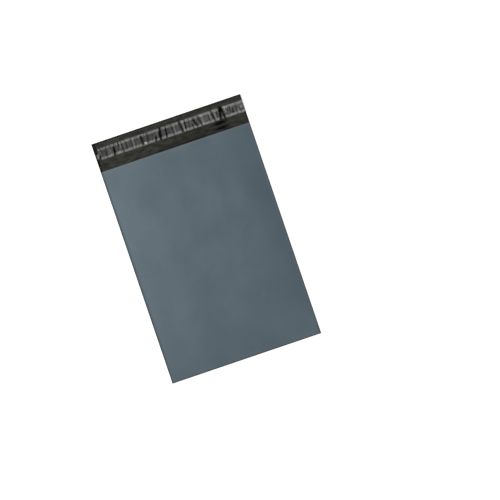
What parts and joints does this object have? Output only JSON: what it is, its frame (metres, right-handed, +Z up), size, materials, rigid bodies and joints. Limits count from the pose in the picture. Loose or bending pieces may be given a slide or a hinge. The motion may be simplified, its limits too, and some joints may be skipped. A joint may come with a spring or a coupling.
{
  "type": "poly mailer bag",
  "caption": "Flat courier bag of grey-blue film with a black inside, open at one end, its closing flap laid open with a glue band under a wrinkled release liner.",
  "frame": {"origin": "middle of the bag's outline, on the surface that the back panel lies on", "axes": "+X across the bag, to the right as the open flap is seen from above; +Y from the bottom fold towards the flap's free edge; +Z up, out of the front panel"},
  "size_m": [0.25, 0.402, 0.0104],
  "materials": {
    "film": "satin grey-blue outside, satin black inside",
    "glue": "clear tacky glue over black film",
    "liner": "milky clear film, glossy where it has buckled"
  },
  "bodies": {
    "root": {"mailer_film": "film", "adhesive_strip": "glue", "release_liner": "liner"}
  },
  "joints": []
}
